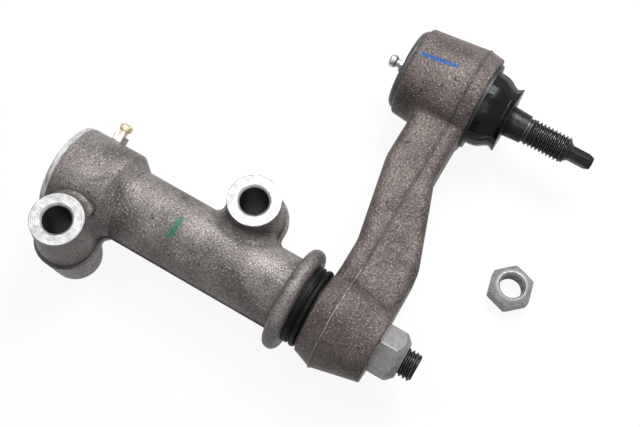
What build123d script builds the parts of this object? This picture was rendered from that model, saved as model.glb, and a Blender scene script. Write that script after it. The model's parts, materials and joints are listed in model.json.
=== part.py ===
from build123d import *
from math import cos, radians, sin, sqrt, tan
import os

# Idler arm of a steering linkage: a cast bracket that bolts to the frame, and a forged arm that
# swings on the bracket's shaft and carries a ball stud at its far end.
# Frame: the origin is the centre of the cap end's frame bolt hole, on the lower mounting face.
# X runs along the pivot axis from the capped end to the arm, Y towards the ball stud, Z along
# the frame bolts. All sizes are in millimetres.

os.makedirs("parts", exist_ok=True)

# Frame bolt bosses
BOLT_SPACING_X = 70.4
BOLT_SPACING_Y = 52.4
BOLT_HOLE_D = 13.5
BOLT_CHAMFER = 1.0
BOSS_FACE_D = 24.8
BOSS_LENGTH = 50.0
BOSS_UPPER_DRAFT = 4.0
BOSS_LOWER_DRAFT = 7.0
BOSS_FILLET = 4.0

# Pivot axis
PIVOT_Y = 28.4
PIVOT_Z = BOSS_LENGTH / 2

# Bracket casting along the pivot axis
HEAD_D = 46.8
HEAD_LENGTH = 28.8
HEAD_START_X = -18.7
HEAD_ROUND = 12.0
HEAD_SLOPE = 6.1
HEAD_FILLET = 8.0
RIM_LENGTH = 3.0
RIM_DEPTH = 0.5
STOCK_INSET = 1.0
STOCK_SINK = 0.2
STOCK_ROOM = 14.0
TUBE_D = 36.2
BRACKET_LENGTH = 128.2
FLANGE_D = 50.8
FLANGE_WIDTH = 8.2
FLANGE_ROUND = 3.4
FLANGE_SLOPE = 1.5
CAST_FILLET = 2.5
FLASH_THICKNESS = 0.9
FLASH_PROUD = 0.5

# Bores of the bracket
CHAMBER_D = 34.0
COVER_MOUTH_D = 36.6
COVER_SEAT_D = 38.6
COVER_SEAT_DEPTH = 3.4
SEAL_SEAT_D = 35.0
SEAL_SEAT_DEPTH = 6.0

# Pivot shaft and what it runs in
SHAFT_D = 22.0
SHAFT_HEAD_D = 30.0
SHAFT_HEAD_WIDTH = 6.5
SHAFT_TIP_CHAMFER = 1.2
BUSHING_WALL = 2.45
BUSHING_LENGTH = 24.0
BUSHING_RIM_D = 33.0
BUSHING_RIM_WIDTH = 2.0
THRUST_WASHER_D = 32.0
THRUST_WASHER_WIDTH = 2.0
PRELOAD_SPRING_D = 32.0
PRELOAD_SPRING_HOLE_D = 18.0
PRELOAD_SPRING_WIDTH = 2.8
PRELOAD_SPRING_SHEET = 1.4
COVER_SHEET = 2.0
COVER_DOME = 1.0
COVER_DOME_D = 18.0

# Shaft seal
SEAL_LENGTH = 8.1
SEAL_BAND_RISE = 1.6
SEAL_BAND_WIDTH = 2.6
SEAL_NECK_RISE = 0.2
SEAL_NECK_WIDTH = 0.9
SEAL_BULGE_RISE = 1.9
SEAL_BULGE_ROUND = 1.6
SEAL_LIP_WIDTH = 0.9

# Forged arm
ARM_LENGTH = 132.4
NEAR_DEPTH = 9.2
FAR_DEPTH = 23.0
BIG_END_D = 46.8
BIG_END_NEAR_D = 40.0
BIG_END_FAR_D = 36.6
BAR_NEAR_EDGE = 18.5
BAR_BEND_START = 37.0
BAR_BEND_END = 82.0
BAR_BEND_ROUND = 24.0
BAR_HALF_ROOT = 15.5
BAR_HALF_TIP = 12.0
BAR_OVERRUN = 8.0
BAR_DRAFT = 8.0
BAR_EDGE_ROUND = 5.0
NEAR_FILLET = 4.0
FAR_FILLET = 2.5
REAR_ROUND = 2.0
FORGED_FLASH_THICKNESS = 0.8
FORGED_FLASH_PROUD = 0.3
TAPER_LARGE_D = 20.0
TAPER_SMALL_D = 15.6
TAPER_SHORT = 1.0

# Ball housing of the arm
HOUSING_D = 52.4
HOUSING_REAR_D = 46.0
HOUSING_FRONT_DEPTH = 7.5
HOUSING_FACE_D = 50.0
NOSE_D = 41.6
NOSE_LENGTH = 2.9
NOSE_LIP = 1.5
NOSE_LIP_D = 33.6
SOCKET_MOUTH_D = 29.0
SOCKET_SHOULDER = 4.0

# Ball stud
BALL_D = 27.0
BALL_SET_BACK = 17.5
STUD_NECK_D = 14.6
STUD_NECK_END = 24.0
STUD_TAPER_D = 16.6
STUD_TAPER_START = 26.0
STUD_TAPER_LENGTH = 17.0
STUD_TAPER_RATE = 1 / 8
STUD_RELIEF_LENGTH = 1.5
STUD_RELIEF_DEPTH = 0.7
STUD_THREAD_D = 13.8
STUD_THREAD_LENGTH = 21.0
STUD_THREAD_CHAMFER = 1.2
STUD_TIP_LENGTH = 13.2
STUD_TIP_NECK = 1.8
STUD_TIP_FLATS = 7.0
STUD_TIP_TURN = 39.0
STUD_TIP_CHAMFER_LENGTH = 3.0
STUD_TIP_END_D = 5.8

# Ball seats and their preload
SEAT_WALL = 4.0
FRONT_SEAT_START = 0.5
FRONT_SEAT_MOUTH_DEPTH = 6.1
REAR_SEAT_FLOOR = 3.4
REAR_SEAT_LENGTH = 10.0
SEAT_SPRING_D = 32.0
SEAT_SPRING_HOLE_D = 14.0
SEAT_SPRING_WIDTH = 3.0
SEAT_SPRING_SHEET = 1.2
HOUSING_COVER_SHEET = 2.2
HOUSING_COVER_DOME = 1.7
HOUSING_COVER_DOME_D = 24.0

# Dust boot
BOOT_SHEET = 2.0
BOOT_BASE_D = 38.8
BOOT_BASE_WIDTH = 2.4
BOOT_BULGE_D = 38.0
BOOT_BULGE_X = 5.6
BOOT_WAIST_D = 31.2
BOOT_WAIST_X = 13.0
BOOT_LIP_D = 33.6
BOOT_LIP_WIDTH = 1.2
BOOT_LENGTH = 15.9
BOOT_SEAT_DEPTH = 1.0
BOOT_CLAMP_WALL = 3.1
BOOT_CLAMP_WIDTH = 2.6
BOOT_RING_D = 21.0
BOOT_RING_WIDTH = 2.4

# Nuts
PIVOT_THREAD_D = 14.0
PIVOT_THREAD_PROUD = 7.0
PIVOT_NUT_FLATS = 22.0
PIVOT_NUT_HEIGHT = 12.8
PIVOT_NUT_CORNER = 8.8
PIVOT_NUT_CROWN_D = 17.0
PIVOT_NUT_TURN = 2.0
STUD_NUT_FLATS = 19.6
STUD_NUT_HEIGHT = 9.4
STUD_NUT_CORNER = 7.6
STUD_NUT_CROWN_D = 15.4
STUD_NUT_HOLE_D = 11.8
STUD_NUT_X = 190.2
STUD_NUT_Y = 92.0
STUD_NUT_TURN = 42.4
NUT_BASE_CHAMFER = 0.5
NUT_COUNTERSINK = 0.9

# Grease fittings
FITTING_THREAD_D = 5.0
FITTING_THREAD_LENGTH = 5.0
FITTING_FLATS = 7.0
FITTING_HEX_WIDTH = 3.2
FITTING_NECK_D = 4.2
FITTING_NECK_END = 5.4
FITTING_HEAD_D = 6.4
FITTING_HEAD_TOP_D = 4.0
FITTING_HEIGHT = 9.4
FITTING_BORE_D = 2.4
FITTING_MOUTH_D = 1.4
FITTING_BALL_D = 2.2
FITTING_SPRING_D = 2.1
FITTING_SPRING_WIRE = 0.3
FITTING_SPRING_TURNS = 5
FITTING_SPRING_LENGTH = 4.5
BRACKET_FITTING_X = -4.8
BRACKET_FITTING_TURN = 15.0

# Clearances, each one a gap between two faces
PRESS_GAP = 0.02
RUNNING_GAP = 0.03
END_GAP = 0.1
RUBBER_GAP = 0.3

# Places worked out from the sizes above
FLANGE_FACE_X = HEAD_START_X + BRACKET_LENGTH
SHOULDER_X = HEAD_START_X + HEAD_LENGTH
SLOPE_END_X = SHOULDER_X + HEAD_SLOPE
COVER_X = HEAD_START_X + COVER_SEAT_DEPTH
SHAFT_HEAD_X = COVER_X + PRELOAD_SPRING_WIDTH + END_GAP
THRUST_WASHER_X = SHAFT_HEAD_X + SHAFT_HEAD_WIDTH + END_GAP
BUSHING_RIM_X = THRUST_WASHER_X + THRUST_WASHER_WIDTH
CHAMBER_END_X = BUSHING_RIM_X + BUSHING_RIM_WIDTH
BUSHING_BORE_D = SHAFT_D + 2 * RUNNING_GAP
BUSHING_D = BUSHING_BORE_D + 2 * BUSHING_WALL
BUSHING_SEAT_D = BUSHING_D + 2 * PRESS_GAP
SEAL_SEAT_X = FLANGE_FACE_X - SEAL_SEAT_DEPTH
SEAL_BAND_D = SEAL_SEAT_D + 2 * SEAL_BAND_RISE
SEAL_NECK_D = SEAL_SEAT_D + 2 * SEAL_NECK_RISE
SEAL_BULGE_D = SEAL_SEAT_D + 2 * SEAL_BULGE_RISE
ARM_NEAR_X = FLANGE_FACE_X + SEAL_LENGTH
PARTING_X = ARM_NEAR_X + NEAR_DEPTH
ARM_FAR_X = PARTING_X + FAR_DEPTH
BALL_Y = PIVOT_Y + ARM_LENGTH
HOUSING_FACE_X = PARTING_X + HOUSING_FRONT_DEPTH
BALL_X = HOUSING_FACE_X - BALL_SET_BACK
REAR_SEAT_X = BALL_X - BALL_D / 2 - REAR_SEAT_FLOOR
SEAT_SPRING_X = REAR_SEAT_X - SEAT_SPRING_WIDTH
HOUSING_COVER_X = SEAT_SPRING_X - HOUSING_COVER_SHEET
NOSE_X = HOUSING_COVER_X - NOSE_LIP
HOUSING_REAR_X = NOSE_X + NOSE_LENGTH
SOCKET_D = BALL_D + 2 * SEAT_WALL
SOCKET_END_X = HOUSING_FACE_X - SOCKET_SHOULDER
BOOT_X = HOUSING_FACE_X - BOOT_SEAT_DEPTH
BOOT_CLAMP_D = BOOT_BASE_D + 2 * BOOT_CLAMP_WALL

pivot_section = Plane(origin=(0, PIVOT_Y, PIVOT_Z), x_dir=(1, 0, 0), z_dir=(0, -1, 0))
pivot_axis = Axis((0, PIVOT_Y, PIVOT_Z), (1, 0, 0))
ball_section = Plane(origin=(0, BALL_Y, PIVOT_Z), x_dir=(1, 0, 0), z_dir=(0, -1, 0))
ball_axis = Axis((0, BALL_Y, PIVOT_Z), (1, 0, 0))
bolt_places = [(0, 0), (BOLT_SPACING_X, BOLT_SPACING_Y)]
fitting_lean = radians(BRACKET_FITTING_TURN)
fitting_out = (0, cos(fitting_lean), sin(fitting_lean))
bracket_fitting_plane = Plane(
    origin=(
        BRACKET_FITTING_X,
        PIVOT_Y + HEAD_D / 2 * cos(fitting_lean),
        PIVOT_Z + HEAD_D / 2 * sin(fitting_lean),
    ),
    x_dir=(1, 0, 0),
    z_dir=fitting_out,
)
cover_fitting_plane = Plane(
    origin=(HOUSING_COVER_X - HOUSING_COVER_DOME, BALL_Y, PIVOT_Z), x_dir=(0, 1, 0), z_dir=(-1, 0, 0)
)


def outline(section, *points):
    """Closed face on a section plane, from points given as (place along X, radius)."""
    with BuildSketch(section) as sketch:
        with BuildLine():
            Polyline(*points, close=True)
        make_face()
    return sketch.sketch


def ring(start_x, end_x, inner_d, outer_d):
    """Corner points of a plain ring's section."""
    return (
        (start_x, inner_d / 2),
        (start_x, outer_d / 2),
        (end_x, outer_d / 2),
        (end_x, inner_d / 2),
    )


def save(piece, name):
    piece.part.label = name
    export_step(piece.part, f"parts/{name}.step")


# Bracket casting. The halves of its mould meet at the height of the pivot axis. Each half of the
# tube, of the slope and of the head gets its bosses, with a fillet where they meet, before all
# are joined. These stocks lie just under the casting's own skin.
boss_face_r = BOSS_FACE_D / 2
lower_boss_r = boss_face_r + PIVOT_Z * tan(radians(BOSS_LOWER_DRAFT))
tube_r = TUBE_D / 2
head_stock_r = HEAD_D / 2 - RIM_DEPTH
slope_x = SHOULDER_X - STOCK_INSET
mould_plane = Plane.XY.offset(PIVOT_Z)
mould_halves = [(1, Keep.TOP, BOSS_UPPER_DRAFT), (-1, Keep.BOTTOM, BOSS_LOWER_DRAFT)]
stocks = [
    (HEAD_START_X, FLANGE_FACE_X, tube_r, tube_r, BOSS_FACE_D, bolt_places),
    (slope_x, SLOPE_END_X, head_stock_r, tube_r + STOCK_SINK, STOCK_ROOM, bolt_places[:1]),
    (HEAD_START_X, slope_x, head_stock_r, head_stock_r, BOSS_FACE_D, bolt_places[:1]),
]
cast_pieces = []
for side, kept, draft in mould_halves:
    root_r = boss_face_r + PIVOT_Z * tan(radians(draft))
    face_z = side * PIVOT_Z
    for start_x, end_x, start_r, end_r, room, places in stocks:
        growth = (end_r - start_r) / (end_x - start_x) * room
        with BuildPart() as stock:
            revolve(
                outline(
                    pivot_section,
                    (start_x - room, 0),
                    (start_x - room, start_r - growth),
                    (end_x + room, end_r + growth),
                    (end_x + room, 0),
                ),
                axis=pivot_axis,
            )
            split(bisect_by=mould_plane, keep=kept)
            for x, y in places:
                boss_section = Plane(origin=(x, y, PIVOT_Z), x_dir=(1, 0, 0), z_dir=(0, -1, 0))
                boss_outline = outline(
                    boss_section, (0, 0), (root_r, 0), (boss_face_r, face_z), (0, face_z)
                )
                revolve(boss_outline, axis=Axis((x, y, 0), (0, 0, 1)))
            fillet(stock.edges().filter_by(GeomType.BSPLINE), BOSS_FILLET)
            split(bisect_by=Plane.YZ.offset(start_x), keep=Keep.TOP)
            split(bisect_by=Plane.YZ.offset(end_x), keep=Keep.BOTTOM)
        cast_pieces.append(stock.part)

flange_x = FLANGE_FACE_X - FLANGE_WIDTH
with BuildPart() as bracket:
    with BuildSketch(pivot_section) as bracket_outline:
        with BuildLine():
            Polyline(
                (HEAD_START_X, 0),
                (HEAD_START_X, HEAD_D / 2 - RIM_DEPTH),
                (HEAD_START_X + RIM_LENGTH, HEAD_D / 2),
                (SHOULDER_X, HEAD_D / 2),
                (SLOPE_END_X, tube_r),
                (flange_x, tube_r),
                (flange_x + FLANGE_SLOPE, FLANGE_D / 2),
                (FLANGE_FACE_X, FLANGE_D / 2),
                (FLANGE_FACE_X, 0),
                close=True,
            )
        make_face()
        corners = bracket_outline.vertices()
        flange_rim = corners.filter_by(lambda v: v.X > flange_x + FLANGE_SLOPE / 2)
        rounds = [
            (flange_rim.sort_by(Axis.Y)[-2:], FLANGE_ROUND),
            (corners.filter_by(lambda v: abs(v.X - SHOULDER_X) < 0.01), HEAD_ROUND),
            (corners.filter_by(lambda v: abs(v.X - SLOPE_END_X) < 0.01), HEAD_FILLET),
            (corners.filter_by(lambda v: abs(v.X - flange_x) < 0.01), CAST_FILLET),
        ]
        for rounded, radius in rounds:
            fillet(rounded, radius)
    revolve(axis=pivot_axis)
    add(cast_pieces)
    # Flash along the joint of the mould, round the tube and the bosses
    with BuildSketch(Plane.XY.offset(PIVOT_Z - FLASH_THICKNESS / 2)) as flash:
        with BuildLine():
            flash_half = tube_r + FLASH_PROUD
            Polyline(
                (SHOULDER_X, PIVOT_Y - flash_half),
                (flange_x, PIVOT_Y - flash_half),
                (flange_x, PIVOT_Y + flash_half),
                (SHOULDER_X, PIVOT_Y + flash_half),
                close=True,
            )
        make_face()
        with Locations(bolt_places[1]):
            Circle(lower_boss_r + FLASH_PROUD)
        flash_corners = flash.vertices().filter_by(lambda v: SLOPE_END_X < v.X < flange_x - 1)
        fillet(flash_corners, BOSS_FILLET - FLASH_PROUD)
    extrude(amount=FLASH_THICKNESS)
    # Frame bolt holes
    with BuildSketch(Plane.XY):
        with Locations(bolt_places):
            Circle(BOLT_HOLE_D / 2)
    extrude(amount=BOSS_LENGTH, mode=Mode.SUBTRACT)
    round_edges = bracket.edges().filter_by(GeomType.CIRCLE)
    mouths = round_edges.filter_by(lambda e: abs(e.radius - BOLT_HOLE_D / 2) < 0.01)
    chamfer(mouths.group_by(Axis.Z)[-1], BOLT_CHAMFER)
    # Hole of the grease fitting, through the chamber's wall
    with BuildSketch(bracket_fitting_plane):
        Circle(FITTING_THREAD_D / 2 + PRESS_GAP)
    extrude(amount=-HEAD_D / 3, mode=Mode.SUBTRACT)
    # Chamber with its rolled mouth, bushing bore and seal seat, in one section
    revolve(
        outline(
            pivot_section,
            (HEAD_START_X, 0),
            (HEAD_START_X, COVER_MOUTH_D / 2),
            (COVER_X - COVER_SHEET, COVER_MOUTH_D / 2),
            (COVER_X - COVER_SHEET, COVER_SEAT_D / 2),
            (COVER_X, COVER_SEAT_D / 2),
            (COVER_X, CHAMBER_D / 2),
            (CHAMBER_END_X, CHAMBER_D / 2),
            (CHAMBER_END_X, BUSHING_SEAT_D / 2),
            (SEAL_SEAT_X, BUSHING_SEAT_D / 2),
            (SEAL_SEAT_X, SEAL_SEAT_D / 2),
            (FLANGE_FACE_X, SEAL_SEAT_D / 2),
            (FLANGE_FACE_X, 0),
        ),
        axis=pivot_axis,
        mode=Mode.SUBTRACT,
    )
save(bracket, "bracket")

# Cover pressed into the cap end, and the disc spring behind it
with BuildPart() as bracket_cover:
    cover_r = COVER_SEAT_D / 2 - PRESS_GAP
    cover_out_x = COVER_X - COVER_SHEET
    revolve(
        outline(
            pivot_section,
            (COVER_X, cover_r),
            (cover_out_x + END_GAP, cover_r),
            (cover_out_x + END_GAP, COVER_DOME_D / 2 + COVER_DOME),
            (cover_out_x + END_GAP - COVER_DOME, COVER_DOME_D / 2),
            (cover_out_x + END_GAP - COVER_DOME, 0),
            (COVER_X - COVER_DOME, 0),
            (COVER_X - COVER_DOME, COVER_DOME_D / 2 - COVER_DOME),
            (COVER_X, COVER_DOME_D / 2),
        ),
        axis=pivot_axis,
    )
save(bracket_cover, "bracket_cover")

# Disc springs: one presses the shaft's head, the other presses the rear ball seat
disc_springs = [
    ("preload_spring", pivot_section, pivot_axis, COVER_X, PRELOAD_SPRING_WIDTH, PRELOAD_SPRING_SHEET,
     PRELOAD_SPRING_HOLE_D, PRELOAD_SPRING_D),
    ("seat_spring", ball_section, ball_axis, SEAT_SPRING_X, SEAT_SPRING_WIDTH, SEAT_SPRING_SHEET,
     SEAT_SPRING_HOLE_D, SEAT_SPRING_D),
]
for name, section, axis, start_x, width, sheet, hole_d, outer_d in disc_springs:
    with BuildPart() as disc_spring:
        revolve(
            outline(
                section,
                (start_x, outer_d / 2),
                (start_x + sheet, outer_d / 2),
                (start_x + width, hole_d / 2),
                (start_x + width - sheet, hole_d / 2),
            ),
            axis=axis,
        )
    save(disc_spring, name)

# Bushings of the pivot shaft, the one at the cap end with a rim, and the thrust washer
bushing_end_x = CHAMBER_END_X + BUSHING_LENGTH
with BuildPart() as cap_bushing:
    for start_x, end_x, outer_d in (
        (BUSHING_RIM_X, CHAMBER_END_X, BUSHING_RIM_D),
        (BUSHING_RIM_X, bushing_end_x, BUSHING_D),
    ):
        bushing_ring = ring(start_x, end_x, BUSHING_BORE_D, outer_d)
        revolve(outline(pivot_section, *bushing_ring), axis=pivot_axis)
save(cap_bushing, "cap_bushing")

plain_rings = [
    ("seal_bushing", SEAL_SEAT_X - BUSHING_LENGTH, SEAL_SEAT_X, BUSHING_D),
    ("thrust_washer", THRUST_WASHER_X, BUSHING_RIM_X, THRUST_WASHER_D),
]
for name, start_x, end_x, outer_d in plain_rings:
    with BuildPart() as plain_ring:
        ring_points = ring(start_x, end_x, BUSHING_BORE_D, outer_d)
        revolve(outline(pivot_section, *ring_points), axis=pivot_axis)
    save(plain_ring, name)

# Rubber seal between the bracket's flange and the arm
with BuildPart() as pivot_seal:
    seal_bore_r = SHAFT_D / 2 + RUBBER_GAP
    neck_x = FLANGE_FACE_X + SEAL_BAND_WIDTH
    bulge_x = neck_x + SEAL_NECK_WIDTH
    seal_end_x = ARM_NEAR_X - RUBBER_GAP
    with BuildSketch(pivot_section) as seal_outline:
        with BuildLine():
            Polyline(
                (SEAL_SEAT_X, seal_bore_r),
                (SEAL_SEAT_X, SEAL_SEAT_D / 2 - PRESS_GAP),
                (FLANGE_FACE_X, SEAL_SEAT_D / 2 - PRESS_GAP),
                (FLANGE_FACE_X, SEAL_BAND_D / 2),
                (neck_x, SEAL_BAND_D / 2),
                (neck_x, SEAL_NECK_D / 2),
                (bulge_x, SEAL_NECK_D / 2),
                (bulge_x, SEAL_BULGE_D / 2),
                (seal_end_x - SEAL_LIP_WIDTH, SEAL_BULGE_D / 2),
                (seal_end_x - SEAL_LIP_WIDTH, SEAL_NECK_D / 2),
                (seal_end_x, SEAL_NECK_D / 2),
                (seal_end_x, seal_bore_r),
                close=True,
            )
        make_face()
        bulge_corners = seal_outline.vertices().group_by(Axis.Y)[-1]
        fillet(bulge_corners, SEAL_BULGE_ROUND)
    revolve(axis=pivot_axis)
save(pivot_seal, "pivot_seal")

# Pivot shaft: head in the chamber, journal in the bushings, taper in the arm, thread for the nut
taper_slope = (TAPER_LARGE_D - TAPER_SMALL_D) / (ARM_FAR_X - ARM_NEAR_X)
with BuildPart() as pivot_shaft:
    taper_end_x = ARM_FAR_X - TAPER_SHORT
    thread_end_x = ARM_FAR_X + PIVOT_NUT_HEIGHT + PIVOT_THREAD_PROUD
    revolve(
        outline(
            pivot_section,
            (SHAFT_HEAD_X, 0),
            (SHAFT_HEAD_X, SHAFT_HEAD_D / 2),
            (SHAFT_HEAD_X + SHAFT_HEAD_WIDTH, SHAFT_HEAD_D / 2),
            (SHAFT_HEAD_X + SHAFT_HEAD_WIDTH, SHAFT_D / 2),
            (ARM_NEAR_X - RUBBER_GAP, SHAFT_D / 2),
            (ARM_NEAR_X - RUBBER_GAP, TAPER_LARGE_D / 2 - PRESS_GAP),
            (ARM_NEAR_X, TAPER_LARGE_D / 2 - PRESS_GAP),
            (taper_end_x, (TAPER_SMALL_D + taper_slope * TAPER_SHORT) / 2 - PRESS_GAP),
            (taper_end_x, PIVOT_THREAD_D / 2),
            (thread_end_x - SHAFT_TIP_CHAMFER, PIVOT_THREAD_D / 2),
            (thread_end_x, PIVOT_THREAD_D / 2 - SHAFT_TIP_CHAMFER),
            (thread_end_x, 0),
        ),
        axis=pivot_axis,
    )
save(pivot_shaft, "pivot_shaft")

# Forged arm. The dies meet at the parting plane. Each die makes half of the bar, of the big end
# and of the ball housing, with fillets where they meet. The flash between the dies joins the
# halves, and stands a little proud of both.
parting_plane = Plane.YZ.offset(PARTING_X)
flush_places = (ARM_NEAR_X, PARTING_X, ARM_FAR_X, HOUSING_FACE_X)
forged_halves = []
for side, kept, blend in ((-1, Keep.BOTTOM, NEAR_FILLET), (1, Keep.TOP, FAR_FILLET)):
    with BuildPart() as forged_bar:
        with BuildSketch(Plane.XY.offset(PIVOT_Z)) as bar_plan:
            with BuildLine():
                Polyline(
                    (ARM_NEAR_X, PIVOT_Y),
                    (ARM_NEAR_X, PIVOT_Y + BAR_BEND_START),
                    (PARTING_X - BAR_NEAR_EDGE, PIVOT_Y + BAR_BEND_END),
                    (PARTING_X - BAR_NEAR_EDGE, BALL_Y),
                    (HOUSING_FACE_X, BALL_Y),
                    (HOUSING_FACE_X, PIVOT_Y + BAR_BEND_END),
                    (ARM_FAR_X, PIVOT_Y + BAR_BEND_START),
                    (ARM_FAR_X, PIVOT_Y),
                    close=True,
                )
            make_face()
            bends = bar_plan.vertices().group_by(Axis.Y)[1:-1]
            fillet(bends[0] + bends[1], BAR_BEND_ROUND)
        extrude(amount=2 * BAR_HALF_ROOT, both=True)
        with BuildSketch(parting_plane):
            with BuildLine():
                Polyline(
                    (PIVOT_Y - BAR_OVERRUN, PIVOT_Z + BAR_HALF_ROOT),
                    (BALL_Y, PIVOT_Z + BAR_HALF_TIP),
                    (BALL_Y, PIVOT_Z - BAR_HALF_TIP),
                    (PIVOT_Y - BAR_OVERRUN, PIVOT_Z - BAR_HALF_ROOT),
                    close=True,
                )
            make_face()
        extrude(amount=1.1 * FAR_DEPTH, both=True, taper=BAR_DRAFT, mode=Mode.INTERSECT)
        split(bisect_by=parting_plane, keep=kept)
        long_edges = forged_bar.edges().filter_by(GeomType.BSPLINE)
        long_edges = long_edges.filter_by(lambda e: abs(e.center().X - PARTING_X) > 0.1)
        long_edges = long_edges.filter_by(lambda e: abs(e.center().Z - PIVOT_Z) > BAR_HALF_TIP / 2)
        fillet(long_edges, BAR_EDGE_ROUND)
    with BuildPart() as forged_half:
        revolve(
            outline(
                pivot_section,
                (ARM_NEAR_X, 0),
                (ARM_NEAR_X, BIG_END_NEAR_D / 2),
                (PARTING_X, BIG_END_D / 2),
                (ARM_FAR_X, BIG_END_FAR_D / 2),
                (ARM_FAR_X, 0),
            ),
            axis=pivot_axis,
        )
        revolve(
            outline(
                ball_section,
                (HOUSING_REAR_X, 0),
                (HOUSING_REAR_X, HOUSING_REAR_D / 2),
                (PARTING_X, HOUSING_D / 2),
                (HOUSING_FACE_X, HOUSING_FACE_D / 2),
                (HOUSING_FACE_X, 0),
            ),
            axis=ball_axis,
        )
        split(bisect_by=parting_plane, keep=kept)
        add(forged_bar.part)
        meeting_edges = forged_half.edges(Select.NEW)
        for flush_x in flush_places:
            meeting_edges = meeting_edges.filter_by(lambda e: abs(e.center().X - flush_x) > 0.1)
        fillet(meeting_edges, blend)
        split(bisect_by=parting_plane.offset(side * FORGED_FLASH_THICKNESS / 4), keep=kept)
    forged_halves.append(forged_half.part)

with BuildPart() as arm:
    with BuildSketch(parting_plane.offset(-FORGED_FLASH_THICKNESS / 2)) as forged_flash:
        with BuildLine():
            bar_root = BAR_HALF_ROOT + FORGED_FLASH_PROUD
            bar_tip = BAR_HALF_TIP + FORGED_FLASH_PROUD
            Polyline(
                (PIVOT_Y - BAR_OVERRUN, PIVOT_Z + bar_root),
                (BALL_Y, PIVOT_Z + bar_tip),
                (BALL_Y, PIVOT_Z - bar_tip),
                (PIVOT_Y - BAR_OVERRUN, PIVOT_Z - bar_root),
                close=True,
            )
        make_face()
        with Locations((PIVOT_Y, PIVOT_Z)):
            Circle(BIG_END_D / 2 + FORGED_FLASH_PROUD)
        with Locations((BALL_Y, PIVOT_Z)):
            Circle(HOUSING_D / 2 + FORGED_FLASH_PROUD)
        flash_corners = forged_flash.vertices().filter_by(lambda v: PIVOT_Y + 1 < v.X < BALL_Y - 1)
        fillet(flash_corners, NEAR_FILLET - FORGED_FLASH_PROUD)
    extrude(amount=FORGED_FLASH_THICKNESS)
    add(forged_halves)
    # Nose that is rolled over the cover, on the housing's rear
    revolve(
        outline(
            ball_section,
            (NOSE_X, 0),
            (NOSE_X, NOSE_D / 2 - NOSE_LIP),
            (NOSE_X + NOSE_LIP, NOSE_D / 2),
            (HOUSING_REAR_X, NOSE_D / 2),
            (HOUSING_REAR_X, 0),
        ),
        axis=ball_axis,
    )
    # Ball socket, open at the front for the stud, with a shallow seat for the boot and its clamp
    revolve(
        outline(
            ball_section,
            (NOSE_X, 0),
            (NOSE_X, NOSE_LIP_D / 2),
            (HOUSING_COVER_X, NOSE_LIP_D / 2),
            (HOUSING_COVER_X, SOCKET_D / 2),
            (SOCKET_END_X, SOCKET_D / 2),
            (SOCKET_END_X, SOCKET_MOUTH_D / 2),
            (BOOT_X, SOCKET_MOUTH_D / 2),
            (BOOT_X, BOOT_CLAMP_D / 2 + PRESS_GAP),
            (HOUSING_FACE_X, BOOT_CLAMP_D / 2 + PRESS_GAP),
            (HOUSING_FACE_X, 0),
        ),
        axis=ball_axis,
        mode=Mode.SUBTRACT,
    )
    # Tapered bore for the pivot shaft
    revolve(
        outline(
            pivot_section,
            (ARM_NEAR_X, 0),
            (ARM_NEAR_X, TAPER_LARGE_D / 2),
            (ARM_FAR_X, TAPER_SMALL_D / 2),
            (ARM_FAR_X, 0),
        ),
        axis=pivot_axis,
        mode=Mode.SUBTRACT,
    )
    # Round on the housing's rear rim
    rims = arm.edges().filter_by(GeomType.CIRCLE)
    rims = rims.filter_by(lambda e: abs(e.radius - HOUSING_REAR_D / 2) < 0.01)
    fillet(rims.filter_by(lambda e: abs(e.center().X - HOUSING_REAR_X) < 0.01), REAR_ROUND)
save(arm, "arm")

# Cover of the ball housing
with BuildPart() as housing_cover:
    cover_r = SOCKET_D / 2 - PRESS_GAP
    dome_r = HOUSING_COVER_DOME_D / 2
    cover_in_x = HOUSING_COVER_X + HOUSING_COVER_SHEET
    fitting_hole_r = FITTING_THREAD_D / 2 + PRESS_GAP
    revolve(
        outline(
            ball_section,
            (cover_in_x, cover_r),
            (HOUSING_COVER_X, cover_r),
            (HOUSING_COVER_X, dome_r + HOUSING_COVER_DOME),
            (HOUSING_COVER_X - HOUSING_COVER_DOME, dome_r),
            (HOUSING_COVER_X - HOUSING_COVER_DOME, fitting_hole_r),
            (cover_in_x - HOUSING_COVER_DOME, fitting_hole_r),
            (cover_in_x - HOUSING_COVER_DOME, dome_r - HOUSING_COVER_DOME),
            (cover_in_x, dome_r),
        ),
        axis=ball_axis,
    )
save(housing_cover, "housing_cover")

# Seats on both sides of the ball, each hollowed to the ball's own curve
seat_r = SOCKET_D / 2 - PRESS_GAP
hollow_r = BALL_D / 2 + RUNNING_GAP
mouth_x = SOCKET_END_X - FRONT_SEAT_MOUTH_DEPTH
front_seat_x = BALL_X + FRONT_SEAT_START
rear_seat_end_x = REAR_SEAT_X + REAR_SEAT_LENGTH
ball_seats = [
    ("front_seat", front_seat_x, mouth_x,
     ((front_seat_x, seat_r), (SOCKET_END_X, seat_r), (SOCKET_END_X, SOCKET_MOUTH_D / 2))),
    ("rear_seat", rear_seat_end_x, BALL_X - hollow_r,
     ((rear_seat_end_x, seat_r), (REAR_SEAT_X, seat_r), (REAR_SEAT_X, 0))),
]
for name, start_x, end_x, corners in ball_seats:
    hollow = []
    for x in (start_x, (start_x + end_x) / 2, end_x):
        hollow.append((x, sqrt(abs(hollow_r**2 - (x - BALL_X) ** 2))))
    with BuildPart() as ball_seat:
        with BuildSketch(ball_section):
            with BuildLine():
                ThreePointArc(*hollow)
                Polyline(hollow[0], *corners, hollow[2])
            make_face()
        revolve(axis=ball_axis)
    save(ball_seat, name)

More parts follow.
